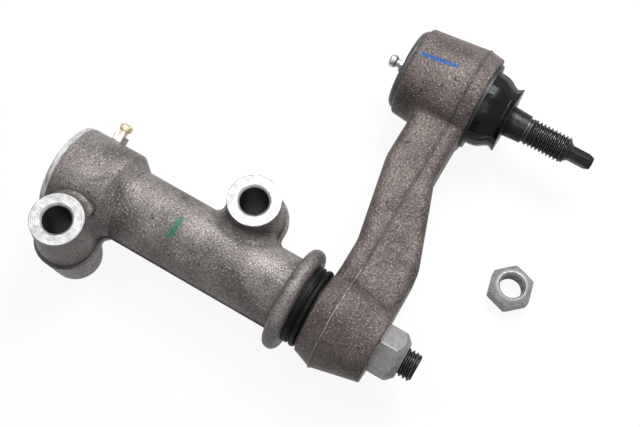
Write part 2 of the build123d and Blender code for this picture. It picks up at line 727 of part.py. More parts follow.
# Ball stud, with its taper, thread and wrench tip
with BuildPart() as ball_stud:
    ball_r = BALL_D / 2
    neck_r = STUD_NECK_D / 2
    neck_x = BALL_X + sqrt(ball_r**2 - neck_r**2)
    taper_x = BALL_X + STUD_TAPER_START
    relief_x = taper_x + STUD_TAPER_LENGTH
    thread_x = relief_x + STUD_RELIEF_LENGTH
    tip_x = thread_x + STUD_THREAD_LENGTH
    tip_end_x = tip_x + STUD_TIP_LENGTH
    tip_r = STUD_TIP_FLATS / 2 / cos(radians(30))
    thread_r = STUD_THREAD_D / 2
    taper_end_r = (STUD_TAPER_D - STUD_TAPER_RATE * STUD_TAPER_LENGTH) / 2
    with BuildSketch(ball_section):
        with BuildLine():
            ThreePointArc((BALL_X - ball_r, 0), (BALL_X, ball_r), (neck_x, neck_r))
            Polyline(
                (neck_x, neck_r),
                (BALL_X + STUD_NECK_END, neck_r),
                (taper_x, STUD_TAPER_D / 2),
                (relief_x, taper_end_r),
                (relief_x, thread_r - STUD_RELIEF_DEPTH),
                (thread_x, thread_r - STUD_RELIEF_DEPTH),
                (thread_x, thread_r),
                (tip_x - STUD_THREAD_CHAMFER, thread_r),
                (tip_x, thread_r - STUD_THREAD_CHAMFER),
                (tip_x + STUD_TIP_NECK, tip_r),
                (tip_end_x - STUD_TIP_CHAMFER_LENGTH, tip_r),
                (tip_end_x, STUD_TIP_END_D / 2),
                (tip_end_x, 0),
                (BALL_X - ball_r, 0),
            )
        make_face()
    revolve(axis=ball_axis)
    # Six flats on the tip, which a wrench holds while the nut is turned
    with BuildSketch(Plane.YZ.offset(tip_x)):
        with Locations((BALL_Y, PIVOT_Z)):
            Circle(STUD_THREAD_D / 2)
            RegularPolygon(
                STUD_TIP_FLATS / 2, 6, major_radius=False, rotation=STUD_TIP_TURN, mode=Mode.SUBTRACT
            )
    extrude(amount=STUD_TIP_LENGTH, mode=Mode.SUBTRACT)
save(ball_stud, "ball_stud")

# Dust boot, its clamp in the housing's face and its ring round the stud
with BuildPart() as boot_clamp:
    clamp_bore_d = BOOT_BASE_D + 2 * RUBBER_GAP
    clamp_ring = ring(BOOT_X, BOOT_X + BOOT_CLAMP_WIDTH, clamp_bore_d, BOOT_CLAMP_D)
    revolve(outline(ball_section, *clamp_ring), axis=ball_axis)
save(boot_clamp, "boot_clamp")

boot_end_x = HOUSING_FACE_X + BOOT_LENGTH
with BuildPart() as dust_boot:
    lip_x = boot_end_x - BOOT_LIP_WIDTH
    waist_x = HOUSING_FACE_X + BOOT_WAIST_X
    bulge_x = HOUSING_FACE_X + BOOT_BULGE_X
    base_x = BOOT_X + RUBBER_GAP
    ring_bore_r = BOOT_RING_D / 2 + RUBBER_GAP
    revolve(
        outline(
            ball_section,
            (base_x, BOOT_BASE_D / 2 - BOOT_SHEET),
            (base_x, BOOT_BASE_D / 2),
            (base_x + BOOT_BASE_WIDTH, BOOT_BASE_D / 2),
            (bulge_x, BOOT_BULGE_D / 2),
            (waist_x, BOOT_WAIST_D / 2),
            (lip_x, BOOT_LIP_D / 2),
            (boot_end_x, BOOT_LIP_D / 2),
            (boot_end_x, ring_bore_r),
            (boot_end_x - BOOT_SHEET, ring_bore_r),
            (waist_x - BOOT_SHEET, BOOT_WAIST_D / 2 - BOOT_SHEET),
            (bulge_x, BOOT_BULGE_D / 2 - BOOT_SHEET),
        ),
        axis=ball_axis,
    )
save(dust_boot, "dust_boot")

with BuildPart() as boot_ring:
    ring_x = boot_end_x - BOOT_RING_WIDTH
    ring_stud_d = STUD_TAPER_D - STUD_TAPER_RATE * (ring_x - taper_x)
    stud_ring = ring(ring_x, boot_end_x, ring_stud_d + 4 * RUNNING_GAP, BOOT_RING_D)
    revolve(outline(ball_section, *stud_ring), axis=ball_axis)
save(boot_ring, "boot_ring")

# Nuts: one holds the arm on the pivot shaft, the other is the ball stud's and lies loose
housing_bottom_z = PIVOT_Z - HOUSING_D / 2
pivot_nut_plane = Plane(origin=(ARM_FAR_X, PIVOT_Y, PIVOT_Z), x_dir=(0, 0, 1), z_dir=(1, 0, 0))
stud_nut_plane = Plane(origin=(STUD_NUT_X, STUD_NUT_Y, housing_bottom_z))
pivot_nut_sizes = (PIVOT_NUT_FLATS, PIVOT_NUT_HEIGHT, PIVOT_NUT_CORNER, PIVOT_NUT_CROWN_D)
stud_nut_sizes = (STUD_NUT_FLATS, STUD_NUT_HEIGHT, STUD_NUT_CORNER, STUD_NUT_CROWN_D)
nuts = [
    ("pivot_nut", pivot_nut_plane, pivot_nut_sizes, PIVOT_THREAD_D + 2 * PRESS_GAP, PIVOT_NUT_TURN),
    ("stud_nut", stud_nut_plane, stud_nut_sizes, STUD_NUT_HOLE_D, STUD_NUT_TURN),
]
for name, nut_plane, sizes, hole_d, turn in nuts:
    flats, height, corner_height, crown_d = sizes
    nut_section = Plane(origin=nut_plane.origin, x_dir=nut_plane.z_dir, z_dir=nut_plane.x_dir)
    corner_r = flats / 2 / cos(radians(30))
    with BuildPart() as nut:
        with BuildSketch(nut_plane):
            RegularPolygon(flats / 2, 6, major_radius=False, rotation=turn)
        extrude(amount=height)
        revolve(
            outline(
                nut_section,
                (0, hole_d / 2),
                (0, corner_r - NUT_BASE_CHAMFER),
                (NUT_BASE_CHAMFER, corner_r),
                (corner_height, corner_r),
                (height, crown_d / 2),
                (height, hole_d / 2 + NUT_COUNTERSINK),
                (height - NUT_COUNTERSINK, hole_d / 2),
            ),
            axis=Axis(nut_plane.origin, nut_plane.z_dir),
            mode=Mode.INTERSECT,
        )
    save(nut, name)

# Grease fittings: one in the bracket's chamber wall, one in the housing cover. Each holds a
# check ball, pressed to the mouth by a small spring.
fitting_places = [("bracket_fitting", bracket_fitting_plane), ("arm_fitting", cover_fitting_plane)]
for name, fitting_plane in fitting_places:
    outward = fitting_plane.z_dir
    side_section = Plane(origin=fitting_plane.origin, x_dir=outward, z_dir=fitting_plane.x_dir)
    fitting_axis = Axis(fitting_plane.origin, outward)
    ball_rest = FITTING_HEIGHT - FITTING_BALL_D / 2 - FITTING_MOUTH_D / 2
    with BuildPart() as fitting:
        with BuildSketch(fitting_plane):
            RegularPolygon(FITTING_FLATS / 2, 6, major_radius=False)
        extrude(amount=FITTING_HEX_WIDTH)
        revolve(
            outline(
                side_section,
                (-FITTING_THREAD_LENGTH, 0),
                (-FITTING_THREAD_LENGTH, FITTING_THREAD_D / 2),
                (0, FITTING_THREAD_D / 2),
                (0, FITTING_NECK_D / 2),
                (FITTING_NECK_END, FITTING_NECK_D / 2),
                (FITTING_NECK_END + 1, FITTING_HEAD_D / 2),
                (FITTING_HEIGHT - 1, FITTING_HEAD_D / 2),
                (FITTING_HEIGHT, FITTING_HEAD_TOP_D / 2),
                (FITTING_HEIGHT, 0),
            ),
            axis=fitting_axis,
        )
        revolve(
            outline(
                side_section,
                (-FITTING_THREAD_LENGTH, 0),
                (-FITTING_THREAD_LENGTH, FITTING_BORE_D / 2),
                (ball_rest, FITTING_BORE_D / 2),
                (ball_rest + FITTING_BALL_D / 2, FITTING_MOUTH_D / 2),
                (FITTING_HEIGHT, FITTING_MOUTH_D / 2),
                (FITTING_HEIGHT, 0),
            ),
            axis=fitting_axis,
            mode=Mode.SUBTRACT,
        )
    save(fitting, name)

    # The spring ends under the ball, and the ball rests against the cone of the mouth
    spring_r = (FITTING_SPRING_D - FITTING_SPRING_WIRE) / 2
    spring_pitch = FITTING_SPRING_LENGTH / FITTING_SPRING_TURNS
    spring_end = ball_rest - FITTING_BALL_D / 2 - FITTING_SPRING_WIRE
    spring_plane = fitting_plane.offset(spring_end - FITTING_SPRING_LENGTH)
    with BuildPart(fitting_plane.offset(ball_rest)) as check_ball:
        Sphere(FITTING_BALL_D / 2)
    save(check_ball, f"{name}_ball")
    with BuildPart() as check_spring:
        with BuildLine() as coil:
            Helix(
                spring_pitch,
                FITTING_SPRING_LENGTH,
                spring_r,
                center=spring_plane.origin,
                direction=spring_plane.z_dir,
            )
        with BuildSketch(Plane(origin=coil.line @ 0, z_dir=coil.line % 0)):
            Circle(FITTING_SPRING_WIRE / 2)
        sweep(path=coil.line)
    save(check_spring, f"{name}_spring")
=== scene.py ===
"""Looks of the steering idler arm, dressed over its CAD frame. Lengths are in metres."""

import json
from math import asin, ceil, cos, pi, radians, sin

import bpy
from mathutils import Matrix, Vector


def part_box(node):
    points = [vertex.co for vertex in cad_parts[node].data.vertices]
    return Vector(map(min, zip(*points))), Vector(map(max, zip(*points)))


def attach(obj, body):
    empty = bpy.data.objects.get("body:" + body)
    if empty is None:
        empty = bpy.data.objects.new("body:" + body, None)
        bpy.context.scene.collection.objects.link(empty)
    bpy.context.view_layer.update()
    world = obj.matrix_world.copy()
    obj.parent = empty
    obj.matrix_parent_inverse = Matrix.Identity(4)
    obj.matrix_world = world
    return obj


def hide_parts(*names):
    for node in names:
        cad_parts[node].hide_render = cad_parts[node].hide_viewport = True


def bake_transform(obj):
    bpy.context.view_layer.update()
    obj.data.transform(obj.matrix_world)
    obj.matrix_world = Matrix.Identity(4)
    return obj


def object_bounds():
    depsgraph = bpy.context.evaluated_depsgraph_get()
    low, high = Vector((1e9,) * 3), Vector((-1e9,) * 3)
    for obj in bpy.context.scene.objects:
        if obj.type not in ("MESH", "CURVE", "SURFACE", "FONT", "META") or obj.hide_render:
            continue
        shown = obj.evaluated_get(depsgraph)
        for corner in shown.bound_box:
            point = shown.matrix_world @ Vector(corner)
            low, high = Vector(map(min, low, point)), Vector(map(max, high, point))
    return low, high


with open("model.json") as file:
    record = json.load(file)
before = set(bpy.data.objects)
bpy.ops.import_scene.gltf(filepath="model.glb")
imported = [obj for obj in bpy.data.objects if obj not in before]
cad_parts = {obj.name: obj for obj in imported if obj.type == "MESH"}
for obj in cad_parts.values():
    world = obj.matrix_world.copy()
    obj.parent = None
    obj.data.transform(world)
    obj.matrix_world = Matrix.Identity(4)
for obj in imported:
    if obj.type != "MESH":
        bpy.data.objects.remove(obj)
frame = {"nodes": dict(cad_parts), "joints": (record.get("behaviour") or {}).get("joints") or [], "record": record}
cad_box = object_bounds()
nodes = frame["nodes"]
joints = {joint["name"]: joint for joint in frame["joints"]}
mounts = {mount["name"]: mount for mount in frame["record"]["mounts"]}
scene = bpy.context.scene

MM = 0.001
PIVOT = Vector(joints["arm_swing"]["pos_m"])
BALL = Vector(joints["stud_tilt"]["pos_m"])
BRACKET_LOW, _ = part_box("bracket")
ARM_LOW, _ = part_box("arm")
_, SEAL_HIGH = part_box("pivot_seal")
NUT_LOW, NUT_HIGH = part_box("pivot_nut")
SHAFT_LOW, SHAFT_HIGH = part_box("pivot_shaft")
_, STUD_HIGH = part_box("ball_stud")
LOOSE_LOW, LOOSE_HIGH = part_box("stud_nut")
BOOT_LOW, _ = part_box("dust_boot")

# The bosses reach from height 0 to here, with the pivot axis halfway up them
BOSS_TOP = 2 * PIVOT.z
# The marks of paint and marker lie above this height
UPPER_SIDE = PIVOT.z + 10 * MM
# Where the forging dies meet, counted from the arm's face on the seal
PARTING_X = SEAL_HIGH.x + 9.5 * MM


# Materials

# Limits between which a noise is spread out, so that its patches end more or less softly
SOFT = (0.3, 0.7)
MEDIUM = (0.32, 0.68)
FIRM = (0.35, 0.65)
SKIN_METALLIC, SKIN_SPECULAR = 0.35, 0.3


class Paint:
    """A material under construction: adds nodes and links them to its shader."""

    def __init__(self, name):
        self.material = bpy.data.materials.new(name)
        self.material.use_nodes = True
        self.tree = self.material.node_tree
        self.shader = self.tree.nodes["Principled BSDF"]
        self.place = self.add("ShaderNodeTexCoord").outputs["Object"]

    def add(self, kind, inputs=None, **settings):
        node = self.tree.nodes.new(kind)
        for key, value in settings.items():
            setattr(node, key, value)
        for key, value in (inputs or {}).items():
            self.feed(node.inputs[key], value)
        return node

    def feed(self, socket, value):
        if isinstance(value, bpy.types.NodeSocket):
            self.tree.links.new(value, socket)
        else:
            socket.default_value = value

    def math(self, operation, a, b=0.0):
        return self.add("ShaderNodeMath", {0: a, 1: b}, operation=operation).outputs[0]

    def times(self, *factors):
        result = factors[0]
        for factor in factors[1:]:
            result = self.math("MULTIPLY", result, factor)
        return result

    def most(self, *values):
        result = values[0]
        for value in values[1:]:
            result = self.math("MAXIMUM", result, value)
        return result

    def inverse(self, value):
        return self.math("SUBTRACT", 1.0, value)

    def ramp(self, value, low, high, to_low=0.0, to_high=1.0):
        inputs = {"Value": value, "From Min": low, "From Max": high, "To Min": to_low, "To Max": to_high}
        return self.add("ShaderNodeMapRange", inputs, clamp=True).outputs["Result"]

    def above(self, value, limit, soft):
        """0 up to the limit and 1 past it, with an edge of the given softness."""
        return self.ramp(value, limit, limit + soft)

    def below(self, value, limit, soft):
        """1 up to the limit and 0 past it, with an edge of the given softness."""
        return self.ramp(value, limit, limit + soft, 1.0, 0.0)

    def between(self, value, low, high, soft=0.2 * MM):
        """1 between the two limits and 0 outside them, with soft edges centred on the limits."""
        rising = self.above(value, low - soft / 2, soft)
        falling = self.below(value, high - soft / 2, soft)
        return self.times(rising, falling)

    def noise(self, size, detail=3.0, roughness=0.5, stretch=(1, 1, 1)):
        """Noise with blobs of about the given size in metres, shorter along a stretched axis."""
        place = self.add("ShaderNodeMapping", {"Vector": self.place, "Scale": stretch}).outputs[0]
        inputs = {"Vector": place, "Scale": 1 / size, "Detail": detail, "Roughness": roughness}
        return self.add("ShaderNodeTexNoise", inputs).outputs["Fac"]

    def shift(self, size, reach, limits=FIRM):
        """Uneven shift to either side, which makes the edge of a mark ragged."""
        return self.ramp(self.noise(size), *limits, -reach, reach)

    def mix(self, factor, a, b):
        """Colour a where the factor is 0, colour b where it is 1."""
        inputs = {0: factor, 6: a, 7: b}
        return self.add("ShaderNodeMix", inputs, data_type="RGBA").outputs[2]

    def blend(self, factor, a, b):
        """Number a where the factor is 0, number b where it is 1."""
        return self.add("ShaderNodeMix", {0: factor, 2: a, 3: b}, data_type="FLOAT").outputs[0]

    def axes(self):
        return self.add("ShaderNodeSeparateXYZ", {"Vector": self.place}).outputs[:3]

    def distance(self, a, a0, b, b0):
        """Distance from a line along the third axis, through the place a0, b0."""
        da = self.math("SUBTRACT", a, a0)
        db = self.math("SUBTRACT", b, b0)
        return self.math("SQRT", self.math("ADD", self.times(da, da), self.times(db, db)))

    def soft_corners(self, reach):
        """Normal of a face whose corners are worn round."""
        return self.add("ShaderNodeBevel", {"Radius": reach}, samples=6).outputs[0]

    def sharp_edge_mask(self, reach, start=0.02, full=0.12):
        """1 on sharp edges and 0 on flat or gently curved faces."""
        rounded = self.soft_corners(reach)
        true = self.add("ShaderNodeNewGeometry").outputs["Normal"]
        along = self.add("ShaderNodeVectorMath", {0: rounded, 1: true}, operation="DOT_PRODUCT")
        return self.ramp(self.inverse(along.outputs["Value"]), start, full)

    def creases(self, reach, start=0.5, full=0.9):
        """1 down in hollows and sharp inner corners of the piece itself, 0 on open faces."""
        open_share = self.add("ShaderNodeAmbientOcclusion", {"Distance": reach}, samples=8, only_local=True)
        return self.ramp(open_share.outputs["AO"], start, full, 1.0, 0.0)

    def bump(self, height, depth, normal=None):
        inputs = {"Height": height, "Strength": 1.0, "Distance": depth}
        if normal is not None:
            inputs["Normal"] = normal
        return self.add("ShaderNodeBump", inputs).outputs["Normal"]

    def finish(self, color, metallic, roughness, normal=None, specular=None):
        values = {
            "Base Color": color,
            "Metallic": metallic,
            "Roughness": roughness,
            "Normal": normal,
            "Specular IOR Level": specular,
        }
        for key, value in values.items():
            if value is not None:
                self.feed(self.shader.inputs[key], value)
        return self.material


def grey(value, warm=0.0):
    """Linear grey, with more red and a little less blue where it is warm."""
    return (value * (1 + warm), value, value * (1 - 0.3 * warm), 1)


def blasted_skin(paint, dark, light, speck_and_glint, grain_size):
    """Colour, roughness and height of a shot-blasted casting or forging, with painted shade in its hollows and
    bright specks that also serve as painted glints.
    """
    stain_and_shade_tone = 0.5
    patch_size, mottle_size, pit_size = 16 * MM, 3.2 * MM, 2.2 * MM
    crease_shade_reach = 12 * MM
    mottle_share, grain_share, speck_and_glint_share, crease_shade_share, pit_share = 0.45, 0.8, 0.6, 0.9, 0.9
    dull, smooth = 0.60, 0.38
    stain_and_shade = tuple(channel * stain_and_shade_tone for channel in dark[:3]) + (1,)
    patches = paint.noise(patch_size, roughness=0.55)
    mottle = paint.noise(mottle_size, detail=4.0, roughness=0.65)
    grain = paint.noise(grain_size, detail=2.0, roughness=0.6)
    peel = paint.noise(1.9 * grain_size, detail=2.0)
    pits = paint.ramp(paint.noise(pit_size, detail=0.0), 0.77, 0.81)
    color = paint.mix(paint.ramp(patches, 0.34, 0.66), dark, light)
    color = paint.mix(paint.ramp(mottle, 0.50, 0.74, 0.0, mottle_share), color, stain_and_shade)
    color = paint.mix(paint.ramp(grain, 0.32, 0.48, grain_share, 0.0), color, stain_and_shade)
    # Painted glints: the grain's bright specks are made light enough to stand in for metallic glints
    color = paint.mix(paint.ramp(grain, 0.56, 0.72, 0.0, speck_and_glint_share), color, speck_and_glint)
    # Painted shade: the dark tone is laid into the piece's own hollows and inner corners
    color = paint.mix(paint.times(paint.creases(crease_shade_reach), crease_shade_share), color, stain_and_shade)
    color = paint.mix(paint.times(pits, pit_share), color, stain_and_shade)
    rough = paint.ramp(peel, *SOFT, dull, smooth)
    height = paint.math("ADD", paint.times(grain, 0.5), peel)
    return color, rough, height


def handling_scratches(paint, x):
    """Mask of thin light scratches along the tube, which grow stronger towards the flange."""
    fade_start, fade_end, share = 62 * MM, 90 * MM, 0.7
    scratches = paint.ramp(paint.noise(0.8 * MM, detail=1.0, stretch=(0.09, 1, 1)), 0.73, 0.77)
    return paint.times(scratches, paint.ramp(x, fade_start, fade_end, 0.0, share))


def machined_marks(paint, x, y, z, rim):
    """Masks of the machined faces and of the bolt holes' walls, and the grooves of turning."""
    face_radius = 12.9 * MM
    face_depth = 0.3 * MM
    mouth_depth = 1.2 * MM
    mouth_width = 0.8 * MM
    rim_feed, face_feed = 0.5 * MM, 0.85 * MM
    edge = 0.2 * MM
    machined, walls = rim, 0.0
    turned = paint.times(x, 2 * pi / rim_feed)
    for name in ("front_frame_bolt", "rear_frame_bolt"):
        centre_x, centre_y, _ = mounts[name]["pos_m"]
        hole_radius = mounts[name]["dims"]["r_mm"] * MM
        away = paint.distance(x, centre_x, y, centre_y)
        on_boss = paint.below(away, face_radius, edge)
        in_hole = paint.below(away, hole_radius + mouth_width, 0.3 * MM)
        top = paint.above(z, BOSS_TOP - face_depth, face_depth / 2)
        bottom = paint.below(z, face_depth / 2, face_depth / 2)
        mouth = paint.above(z, BOSS_TOP - mouth_depth, edge)
        face = paint.most(top, bottom, paint.times(in_hole, mouth))
        machined = paint.most(machined, paint.times(on_boss, face))
        walls = paint.most(walls, paint.times(in_hole, paint.inverse(mouth)))
        turned = paint.blend(on_boss, turned, paint.times(away, 2 * pi / face_feed))
    return machined, walls, paint.ramp(paint.math("SINE", turned), -0.4, 1.0)


def green_dab(paint, x, y, z):
    """Mask of a dab of paint across the top of the tube, with ragged ends."""
    left, right = 43.4 * MM, 46.6 * MM
    near, far = PIVOT.y - 8.4 * MM, PIVOT.y + 2.2 * MM
    ragged = paint.shift(1.1 * MM, 1.3 * MM)
    return paint.times(
        paint.between(paint.math("ADD", x, ragged), left, right),
        paint.between(paint.math("ADD", y, ragged), near, far),
        paint.above(z, UPPER_SIDE, 1 * MM),
        paint.ramp(paint.noise(0.6 * MM), 0.36, 0.5, 0.3, 1.0),
    )


def bracket_material():
    """Casting with machined boss faces and cap rim, and a dab of green paint on its top."""
    paint = Paint("bracket_casting")
    rim_depth = 2.6 * MM
    skin_bump, skin_corners, groove_bump = 0.26 * MM, 0.5 * MM, 0.02 * MM
    # The third tone is for bright specks, which also serve as painted glints
    dark, light, speck_and_glint = grey(0.09, 0.15), grey(0.23, 0.12), grey(0.62, 0.05)
    scratch_grey, hole_shade_grey, groove_grey = grey(0.62), grey(0.022, 0.05), grey(0.15)
    dull_face, bright_face = grey(0.33), grey(0.52)
    bright_rim, dull_rim = grey(0.62), grey(0.25)
    green = (0.02, 0.12, 0.085, 1)
    x, y, z = paint.axes()
    color, rough, height = blasted_skin(paint, dark, light, speck_and_glint, 0.66 * MM)
    color = paint.mix(handling_scratches(paint, x), color, scratch_grey)
    rim = paint.below(x, BRACKET_LOW.x + rim_depth, 0.3 * MM)
    machined, walls, grooves = machined_marks(paint, x, y, z, rim)
    scuff = paint.noise(3 * MM, detail=4.0, roughness=0.65)
    streak = paint.noise(1.2 * MM, roughness=0.7, stretch=(0.25, 1, 1))
    bright = paint.mix(paint.ramp(scuff, *FIRM), dull_face, bright_face)
    cut = paint.times(grooves, paint.ramp(streak, 0.38, 0.60, 0.15, 0.8))
    color = paint.mix(machined, color, paint.mix(cut, bright, groove_grey))
    rough = paint.blend(machined, rough, paint.ramp(scuff, *SOFT, 0.56, 0.42))
    # Painted shade: the bolt holes' walls are made dark, since little light reaches down into them
    color = paint.mix(walls, color, hole_shade_grey)
    rough = paint.blend(walls, rough, 0.55)
    color = paint.mix(green_dab(paint, x, y, z), color, green)
    raised = paint.times(height, paint.inverse(paint.most(machined, walls)))
    normal = paint.bump(raised, skin_bump, paint.soft_corners(skin_corners))
    normal = paint.bump(paint.times(grooves, machined), groove_bump, normal)
    worn = paint.ramp(paint.noise(2.5 * MM, roughness=0.6, stretch=(2, 0.4, 0.4)), 0.42, 0.60)
    color = paint.mix(rim, color, paint.mix(worn, bright_rim, dull_rim))
    metallic = paint.blend(machined, SKIN_METALLIC, 0.85)
    metallic = paint.blend(rim, metallic, 0.25)
    metallic = paint.blend(walls, metallic, 0.1)
    return paint.finish(color, metallic, rough, normal, specular=SKIN_SPECULAR)


def parting_line(paint, x):
    """Mask of the broken line where the flash was trimmed off."""
    half_width, wander = 0.3 * MM, 0.35 * MM
    place = paint.math("ADD", x, paint.shift(5 * MM, wander, SOFT))
    line = paint.between(place, PARTING_X - half_width, PARTING_X + half_width)
    return paint.times(line, paint.ramp(paint.noise(3 * MM), 0.38, 0.56, 0.15, 0.75))


def blue_dash(paint, x, y, z):
    """Mask of a marker's dash, which runs at a slant along the top of the ball housing."""
    left, middle, right = 99 * MM, 108 * MM, 118 * MM
    near, far, slant = 158.4 * MM, 160.7 * MM, -0.08
    ragged = paint.shift(0.9 * MM, 0.5 * MM)
    sloped = paint.times(paint.math("SUBTRACT", x, middle), slant)
    across = paint.math("ADD", paint.math("ADD", y, ragged), sloped)
    return paint.times(
        paint.between(paint.math("ADD", x, ragged), left, right),
        paint.between(across, near, far),
        paint.above(z, UPPER_SIDE, 1 * MM),
        paint.ramp(paint.noise(0.7 * MM), 0.3, 0.5, 0.65, 1.0),
    )


def arm_material():
    """Forging with its parting line, a rolled nose and a plain blue dash of marker."""
    paint = Paint("arm_forging")
    nose_depth = 3.1 * MM
    bar_start = PIVOT.y + 24 * MM
    skin_bump, skin_corners = 0.5 * MM, 1.6 * MM
    # The third tone is for bright specks, which also serve as painted glints
    dark, light, speck_and_glint = grey(0.055, 0.28), grey(0.125, 0.23), grey(0.34, 0.12)
    light_line, dark_line = grey(0.28, 0.1), grey(0.02, 0.1)
    dark_nose, light_nose = grey(0.03), grey(0.12)
    blue = (0.01, 0.075, 0.25, 1)
    x, y, z = paint.axes()
    color, rough, height = blasted_skin(paint, dark, light, speck_and_glint, 0.75 * MM)
    # The trimmed flash is bright round the big end and dark along the bar
    on_bar = paint.above(y, bar_start, 3 * MM)
    color = paint.mix(parting_line(paint, x), color, paint.mix(on_bar, light_line, dark_line))
    nose = paint.below(x, ARM_LOW.x + nose_depth, 0.3 * MM)
    color = paint.mix(nose, color, paint.mix(paint.noise(2 * MM), dark_nose, light_nose))
    rough = paint.blend(nose, rough, 0.42)
    dash = blue_dash(paint, x, y, z)
    color = paint.mix(dash, color, blue)
    metallic = paint.blend(dash, SKIN_METALLIC, 0.0)
    raised = paint.times(height, paint.inverse(nose))
    normal = paint.bump(raised, skin_bump, paint.soft_corners(skin_corners))
    return paint.finish(color, metallic, rough, normal, specular=SKIN_SPECULAR)


def metal(name, dark, light, smooth, dull, size, metallic=0.9, depth=0.02 * MM, edge=None):
    """Plain metal with a cloudy tone, uneven gloss, a fine grain and maybe bright edges."""
    paint = Paint(name)
    edge_reach = 0.5 * MM
    cloud = paint.noise(size, detail=4.0, roughness=0.6)
    grain = paint.noise(size / 5, roughness=0.6)
    color = paint.mix(paint.ramp(cloud, *MEDIUM), dark, light)
    if edge:
        color = paint.mix(paint.sharp_edge_mask(edge_reach), color, edge)
    rough = paint.ramp(grain, *SOFT, dull, smooth)
    return paint.finish(color, metallic, rough, paint.bump(grain, depth))


def fitting_material():
    """Yellow zinc that has faded to silver on the hexagon."""
    paint = Paint("yellow_zinc")
    hexagon_top = 27 * MM
    dark_silver, light_silver = (0.58, 0.55, 0.50, 1), (0.86, 0.83, 0.77, 1)
    dark_gold, light_gold = (0.55, 0.43, 0.26, 1), (0.88, 0.78, 0.58, 1)
    _, y, z = paint.axes()
    head = paint.above(paint.distance(y, PIVOT.y, z, PIVOT.z), hexagon_top, 1.5 * MM)
    cloud = paint.noise(1.5 * MM, detail=4.0, roughness=0.6)
    patches = paint.ramp(cloud, *FIRM)
    silver = paint.mix(patches, dark_silver, light_silver)
    gold = paint.mix(patches, dark_gold, light_gold)
    return paint.finish(paint.mix(head, silver, gold), 0.9, 0.3, paint.bump(cloud, 0.02 * MM))


def rubber(name, tone, gloss, crease_depth=0.0):
    """Black rubber, with creases that run away from its base where it has some."""
    paint = Paint(name)
    cloud = paint.noise(4 * MM)
    grain = paint.noise(0.5 * MM, detail=2.0)
    folds = paint.noise(5 * MM, detail=2.0, stretch=(0.3, 1, 1))
    color = paint.mix(cloud, grey(tone * 0.6), grey(tone * 1.5))
    rough = paint.ramp(cloud, *SOFT, gloss + 0.10, gloss)
    normal = paint.bump(grain, 0.015 * MM, paint.bump(folds, crease_depth))
    return paint.finish(color, 0.0, rough, normal, specular=0.13)


def turned_dark(name):
    """Dark phosphated steel with turning marks round the X axis, and painted highlights on its sharp edges and
    thread crests.
    """
    paint = Paint(name)
    edge_reach, edge_highlight_share, edge_highlight_grey = 0.25 * MM, 0.7, grey(0.36)
    cloud = paint.noise(2.5 * MM, detail=4.0, roughness=0.6)
    marks = paint.noise(0.5 * MM, detail=2.0, stretch=(1, 0.02, 0.02))
    color = paint.mix(paint.ramp(cloud, *SOFT), grey(0.006, 0.08), grey(0.026, 0.04))
    # Painted highlights: sharp edges and thread crests are made light grey
    color = paint.mix(paint.times(paint.sharp_edge_mask(edge_reach), edge_highlight_share), color, edge_highlight_grey)
    rough = paint.ramp(marks, *SOFT, 0.48, 0.30)
    return paint.finish(color, 0.6, rough, paint.bump(marks, 0.02 * MM), specular=0.25)


# A metal has a dark and a light tone, a smooth and a dull roughness and the size of its patches.
# A rubber has its tone and its roughness where it is smooth.
finishes = {
    "bracket": bracket_material(),
    "arm": arm_material(),
    "bracket_cover": metal("cover_plate", grey(0.18), grey(0.30), 0.35, 0.5, 6 * MM),
    "housing_cover": metal("housing_plate", grey(0.16), grey(0.28), 0.35, 0.5, 5 * MM),
    "preload_spring": metal("spring_steel", grey(0.14), grey(0.24), 0.3, 0.45, 3 * MM),
    "cap_bushing": metal("bronze", (0.42, 0.25, 0.10, 1), (0.58, 0.38, 0.17, 1), 0.3, 0.45, 4 * MM),
    "pivot_seal": rubber("seal_rubber", 0.003, 0.46),
    "bracket_fitting": fitting_material(),
    "bracket_fitting_ball": metal("polished_ball", grey(0.55), grey(0.70), 0.1, 0.2, 1 * MM),
    "arm_fitting": metal("bright_zinc", grey(0.22), grey(0.50), 0.25, 0.42, 2 * MM),
    "front_seat": metal("sintered_iron", grey(0.12), grey(0.2), 0.5, 0.65, 1 * MM),
    "boot_clamp": metal("black_ring", grey(0.006), grey(0.018), 0.4, 0.55, 2 * MM, metallic=0.15),
    "nut": metal(
        "nut_phosphate",
        grey(0.17, 0.03),
        grey(0.27, 0.02),
        0.42,
        0.58,
        3 * MM,
        metallic=0.4,
        depth=0.05 * MM,
        edge=grey(0.7),
    ),
    "stud": turned_dark("stud_steel"),
    "boot": rubber("boot_rubber", 0.005, 0.2, crease_depth=1.2 * MM),
}
# Pieces that share the finish of another one
shared = {
    "seat_spring": "preload_spring",
    "bracket_fitting_spring": "preload_spring",
    "arm_fitting_spring": "preload_spring",
    "seal_bushing": "cap_bushing",
    "thrust_washer": "cap_bushing",
    "rear_seat": "front_seat",
    "boot_ring": "boot_clamp",
    "arm_fitting_ball": "bracket_fitting_ball",
    "pivot_shaft": "stud",
    "ball_stud": "stud",
    "pivot_nut": "nut",
    "stud_nut": "nut",
    "dust_boot": "boot",
}
for name, piece in nodes.items():
    piece.data.materials.clear()
    piece.data.materials.append(finishes[shared.get(name, name)])


# Pieces that replace CAD nodes

X_AXIS, Y_AXIS, Z_AXIS = Vector((1, 0, 0)), Vector((0, 1, 0)), Vector((0, 0, 1))
# Faces that meet at less than this angle are shaded as one
SMOOTH_ANGLE = radians(32)
PITCH = 2 * MM
THREAD_DEPTH = 1.15 * MM
NUT_THREAD_DEPTH = 0.8 * MM
# Shares of a thread's half turn that are its flat crest and its sloping flank
CREST_SHARE, FLANK_SHARE = 0.15, 0.65
RINGS_PER_PITCH = 10
HEXAGON_RING_STEP = 0.4 * MM
END_CHAMFER = 1.2 * MM
# A profile ends this close to its axis, so that no ring shrinks to a point
CENTRE = 0.05 * MM
# Slack in comparing places along an axis
CLOSE = 1e-6


